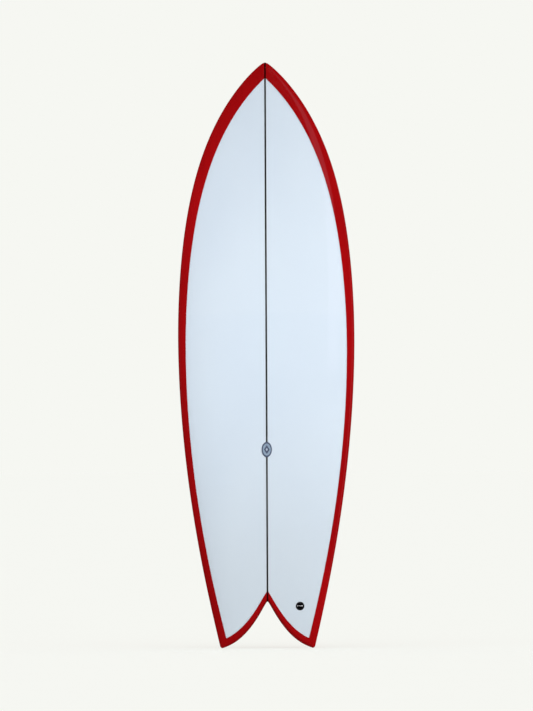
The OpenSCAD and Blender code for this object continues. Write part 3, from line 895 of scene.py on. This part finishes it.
def fin_fibreglass():
    look = Look("fin_fibreglass")
    _, y, z = look.axes()
    plies = look.add("ShaderNodeAttribute", {"attribute_name": "plies"}).outputs["Fac"]
    edge = look.math("PINGPONG", plies, 0.5)
    line = look.ramp(edge, 0.03, 0.09, 1.0, 0.0, True)
    thin = look.ramp(plies, 0.0, 7.0, 1.0, 0.0)
    cloth = look.weave(FIN_WEAVE, y, z)
    base = look.blend(thin, colour(0.20, 0.001, 0.002), colour(0.42, 0.012, 0.012))
    base = look.blend(look.math("MULTIPLY", line, 0.35), base, colour(0.50, 0.05, 0.04))
    base = look.blend(look.math("MULTIPLY", cloth, 0.14), base, colour(0.10, 0.0, 0.0))
    return look.done(look.shader(
        Base_Color=base, Roughness=0.35, Specular_IOR_Level=0.3,
        Coat_Weight=1.0, Coat_Roughness=0.08, Normal=look.bump(cloth, 0.08, 0.0002)))


def moulded_plastic(name, dark, light, roughness):
    look = Look(name)
    grain = look.noise(2500.0, (1, 1, 1), 2.0)
    scuff = look.noise(180.0, (1, 1, 1), 4.0, 0.65)
    base = look.blend(look.ramp(scuff, 0.45, 0.75), dark, light)
    rough = look.ramp(scuff, 0.3, 0.7, roughness - 0.08, roughness + 0.08)
    return look.done(look.shader(Base_Color=base, Roughness=rough, Normal=look.bump(grain, 0.25, 0.0001)))


def steel():
    look = Look("stainless_steel")
    drawn = look.noise(3000.0, (0.04, 1, 1), 2.0)
    base = look.blend(drawn, colour(0.56, 0.56, 0.57), colour(0.74, 0.74, 0.75))
    rough = look.ramp(drawn, 0.3, 0.7, 0.2, 0.34)
    return look.done(look.shader(Base_Color=base, Metallic=1.0, Roughness=rough))


def printed_film():
    """A plain ring and lozenge printed in slate blue on a paler oval."""
    look = Look("printed_film")
    x, _, z = look.axes()
    across_share = look.math("DIVIDE", look.math("ABSOLUTE", x), DECAL_W / 2 * MM)
    up = look.math("ABSOLUTE", look.math("SUBTRACT", z, DECAL_Z * MM))
    up_share = look.math("DIVIDE", up, DECAL_H / 2 * MM)
    squares = look.math("ADD", look.math("POWER", across_share, 2.0), look.math("POWER", up_share, 2.0))
    reach = look.math("SQRT", squares)
    ring = look.ramp(reach, 0.77, 0.80, 0.0, 1.0, True)
    lozenge = look.ramp(look.math("ADD", across_share, up_share), 0.56, 0.60, 1.0, 0.0, True)
    core = look.ramp(look.math("ADD", across_share, up_share), 0.20, 0.24, 1.0, 0.0, True)
    ink = look.noise(500.0, (1, 1, 1), 3.0, 0.6)
    field = look.blend(look.ramp(ink, 0.35, 0.65), colour(0.20, 0.28, 0.38), colour(0.30, 0.39, 0.50))
    slate = look.blend(look.ramp(ink, 0.35, 0.65), colour(0.035, 0.055, 0.11), colour(0.075, 0.10, 0.17))
    base = look.blend(ring, field, slate)
    base = look.blend(lozenge, base, slate)
    base = look.blend(core, base, colour(0.42, 0.50, 0.60))
    return look.done(look.shader(Base_Color=base, Roughness=0.4, Coat_Weight=1.0, Coat_Roughness=0.06))


tinted = tinted_glass()
foam = blank_foam()
wood = stringer_wood()
clear = clear_glass()
cloth = patch_cloth()
fibreglass = fin_fibreglass()
box_plastic = moulded_plastic("box_plastic", colour(0.016, 0.016, 0.018), colour(0.03, 0.03, 0.033), 0.42)
plug_plastic = moulded_plastic("plug_plastic", colour(0.005, 0.005, 0.006), colour(0.012, 0.012, 0.013), 0.34)
metal = steel()
film_print = printed_film()

# ---- The pieces -----------------------------------------------------------------------

row_number = np.arange(LAST_ROW)[:, None]
cell_column = np.where(columns < 2 * RAIL_COL, columns, columns - RING)[None, :]
panel = (row_number >= LAP_ROW) & (row_number < PANEL_ROW)
panel = panel & (cell_column >= -LAP_COL) & (cell_column < LAP_COL)


def fin_patch_cells(side):
    under = 2 * RAIL_COL - 1 - cell_column if side > 0 else 2 * RAIL_COL + cell_column
    inside = (row_number >= FIN_PATCH_ROWS[0]) & (row_number < FIN_PATCH_ROWS[1])
    return inside & (under >= FIN_PATCH_COLS[0]) & (under < FIN_PATCH_COLS[1])


def count_plies(fin, side):
    """Stores how many plies of cloth the fin has at each point, for the contour lines of its foil."""
    back = np.array((placed @ fin_seat(side)).inverted())
    points = np.array([v.co for v in fin.data.vertices]) / MM @ back[:3, :3].T + back[:3, 3]
    plies = []
    for _, y, z in points:
        v = min(max((z - FIN_RISE) / (FIN_DEPTH - FIN_RISE), 0), LAST_SPAN)
        chord = fin_front(v) - fin_rear(v)
        c = (y - (FIN_BASE / 2 - fin_front(v))) / chord
        plies.append(2 * float(foil(c)) * fin_thickness(v) / PLY_T)
    stored = fin.data.attributes.new("plies", "FLOAT", "POINT")
    stored.data.foreach_set("value", np.array(plies, np.float32))


laminate = combine(layer("tinted_laminate", ~panel, FOAM_ROW), [box_cutter(-1), box_cutter(1)], "DIFFERENCE")
finish_piece(laminate, tinted, "tinted_glass", "bottom_lamination")

deck = combine(layer("clear_deck_glass", panel), [plug_cutter(THROUGH)], "DIFFERENCE")
finish_piece(deck, clear, "clear_glass", "deck_lamination")

left = combine(foam_half("blank_left", -1), [box_cutter(-1)], "DIFFERENCE")
finish_piece(left, foam, "foam", "foam_blank_left")

right = combine(foam_half("blank_right", 1), [box_cutter(1), plug_cutter(PLUG_DEPTH + GAP)], "DIFFERENCE")
finish_piece(right, foam, "foam", "foam_blank_right")

finish_piece(stringer_strip("wood_stringer"), wood, "stringer", "stringer")

rear_patch = patch("rear_deck_patch", panel & (row_number < DECK_PATCH_TOP))
combine(rear_patch, [plug_cutter(THROUGH)], "DIFFERENCE")
finish_piece(rear_patch, cloth, "patch_cloth", "deck_patch")

for word, side in (("left", -1), ("right", 1)):
    box_patch = combine(patch("box_patch_" + word, fin_patch_cells(side)), [box_cutter(side)], "DIFFERENCE")
    finish_piece(box_patch, cloth, "patch_cloth", "fin_patch_" + word)
    finish_piece(fin_box("screw_box_" + word, side), box_plastic, "fin_box", "fin_box_" + word)
    keel = combine(blade("keel_" + word, side), tab_blocks(side, 0.0, BOX_SINK + TAB_OVERLAP), "UNION")
    count_plies(keel, side)
    finish_piece(keel, fibreglass, "keel_fin", "keel_fin_" + word)
    finish_piece(grub_screw("grub_screw_" + word, side), metal, "steel", "fin_screws")

finish_piece(combine(plug_cup("plug_cup"), [], "DIFFERENCE"), plug_plastic, "plug", "leash_plug_cup")
finish_piece(plug_bar("plug_bar"), metal, "steel", "leash_plug_bar")
finish_piece(film("stringer_film"), film_print, "decal", "centre_decal")

# ---- Floor, light and camera ----------------------------------------------------------

scene = bpy.context.scene
scene.view_settings.view_transform = "Standard"
# Light crosses the glass and the patch on its way to the foam, and again on its way back
scene.cycles.transparent_max_bounces = 32

BACKGROUND = (0.922, 0.930, 0.888)
AMBIENT = 0.50
REFLECTED = 0.03
# The floor gives off this share of its brightness itself, so the board's shade on it stays faint
OWN_GLOW = 0.55
FLOOR_HALF = 60.0


def pale_floor():
    half = FLOOR_HALF
    mesh = bpy.data.meshes.new("floor")
    corners = [(-half, -half, 0), (half, -half, 0), (half, half, 0), (-half, half, 0)]
    mesh.from_pydata(corners, [], [(0, 1, 2, 3)])
    made = bpy.data.objects.new("floor", mesh)
    scene.collection.objects.link(made)
    look = Look("pale_floor")
    tone = look.noise(2.0, (1, 1, 1), 1.0)
    base = look.blend(tone, colour(0.402, 0.406, 0.388), colour(0.408, 0.412, 0.394))
    mesh.materials.append(look.done(look.shader(
        Base_Color=base, Roughness=1.0, Specular_IOR_Level=0.0,
        Emission_Color=(*BACKGROUND, 1), Emission_Strength=OWN_GLOW)))
    made.visible_glossy = False
    made.visible_diffuse = False
    made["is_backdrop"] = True
    return made


def surroundings():
    """The pale background as the camera sees it, a softer light on surfaces and a dim room in
    reflections."""
    world = bpy.data.worlds.new("studio")
    scene.world = world
    world.use_nodes = True
    tree = world.node_tree
    tree.nodes.clear()
    rays = tree.nodes.new("ShaderNodeLightPath")
    even = tree.nodes.new("ShaderNodeBackground")
    even.inputs[0].default_value = (AMBIENT, AMBIENT, AMBIENT, 1)
    dim = tree.nodes.new("ShaderNodeBackground")
    dim.inputs[0].default_value = (REFLECTED, REFLECTED, REFLECTED, 1)
    pale = tree.nodes.new("ShaderNodeBackground")
    pale.inputs[0].default_value = (*BACKGROUND, 1)
    reflected = tree.nodes.new("ShaderNodeMixShader")
    seen = tree.nodes.new("ShaderNodeMixShader")
    out = tree.nodes.new("ShaderNodeOutputWorld")
    tree.links.new(rays.outputs["Is Glossy Ray"], reflected.inputs[0])
    tree.links.new(even.outputs[0], reflected.inputs[1])
    tree.links.new(dim.outputs[0], reflected.inputs[2])
    tree.links.new(rays.outputs["Is Camera Ray"], seen.inputs[0])
    tree.links.new(reflected.outputs[0], seen.inputs[1])
    tree.links.new(pale.outputs[0], seen.inputs[2])
    tree.links.new(seen.outputs[0], out.inputs[0])
    # Light then reaches a surface only along its own diffuse and glossy rays, which differ here
    world.cycles.sampling_method = "NONE"


def linked_group(name, objects, state):
    group = bpy.data.collections.new(name)
    for member, one in enumerate(objects):
        group.objects.link(one)
        group.collection_objects[member].light_linking.link_state = state
    return group


def link_light(light, objects, state):
    """Says whether a light falls only on some objects (INCLUDE) or on all but them (EXCLUDE)."""
    light.light_linking.receiver_collection = linked_group(light.name + "_link", objects, state)


def add_light(name, kind, towards, strength, aim_up=0.0, **settings):
    """A lamp at the end of the vector towards, shining back at a point aim_up above the board's middle."""
    data = bpy.data.lights.new(name, kind)
    data.energy = strength
    for key, value in settings.items():
        setattr(data, key, value)
    made = bpy.data.objects.new(name, data)
    scene.collection.objects.link(made)
    middle = Vector((0, 0, BOARD_L / 2 * MM + aim_up))
    made.location = middle + Vector(towards)
    made.rotation_mode = "QUATERNION"
    made.rotation_quaternion = Vector(towards).to_track_quat("Z", "Y")
    made.visible_camera = False
    return made


floor = pale_floor()
surroundings()
for name, towards, strength, angle in (
    ("key", (2.6, -2.9, 2.2), 1.6, 40),
    ("fill", (-2.6, -3.6, 0.4), 0.15, 60),
    ("rear_key", (-2.6, 2.9, 2.2), 1.6, 40),
    ("rear_fill", (2.2, 3.6, 0.6), 0.4, 60),
):
    sun = add_light(name, "SUN", towards, strength, angle=math.radians(angle))
    sun.visible_glossy = False
    link_light(sun, [floor], "EXCLUDE")
floor_light = add_light("floor_light", "SUN", (0, 0, 3), 1.628, angle=math.radians(100))
floor_light.visible_glossy = False
link_light(floor_light, [floor], "INCLUDE")
# The board casts no hard shadow on the floor
floor_light.light_linking.blocker_collection = linked_group("floor_only", [floor], "INCLUDE")
front = add_light("front_softbox", "AREA", (0.25, -2.8, 0.0), 2.8, 0.13, size=1.0, spread=math.radians(55))
front.visible_glossy = False
link_light(front, [floor], "EXCLUDE")
for name, towards, strength, wide, high in (
    ("right_softbox", (1.35, -3.2, 0.22), 0.62, 0.6, 0.7),
    ("right_strip", (3.3, -1.2, -0.2), 1.2, 0.4, 2.4),
    ("left_strip", (-3.6, -0.9, 0.8), 0.6, 0.6, 2.6),
    ("rear_softbox", (-2.6, 2.6, 0.3), 1.6, 0.5, 2.2),
    ("rear_strip", (3.4, 1.2, 0.4), 1.5, 0.5, 3.0),
):
    box = add_light(name, "AREA", towards, strength, shape="RECTANGLE", size=wide, size_y=high,
                    color=(1.0, 0.8, 1.0))
    box.visible_diffuse = False
    box.visible_transmission = False
steel_light = add_light("steel_light", "AREA", (0.0, -2.6, 1.6), 60, shape="RECTANGLE", size=2.0, size_y=1.0)
link_light(steel_light, [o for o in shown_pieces() if metal in list(o.data.materials)], "INCLUDE")

# The camera looks level at the deck from far off, like a long lens, and leans a little
CAMERA_FAR = 40.0
VIEW_H = 2.101
VIEW_SIDE = 0.0005
VIEW_Z = 0.8635
LEAN_DEG = 0.275
CAMERA_REACH = 200.0


def make_camera():
    data = bpy.data.cameras.new("camera")
    made = bpy.data.objects.new("camera", data)
    scene.collection.objects.link(made)
    made.location = (VIEW_SIDE, -CAMERA_FAR, VIEW_Z)
    made.rotation_mode = "QUATERNION"
    made.rotation_quaternion = (
        Matrix.Rotation(math.radians(LEAN_DEG), 4, "Y") @ Matrix.Rotation(math.pi / 2, 4, "X")
    ).to_quaternion()
    data.lens = data.sensor_width * CAMERA_FAR / VIEW_H
    data.clip_end = CAMERA_REACH
    scene.camera = made


make_camera()
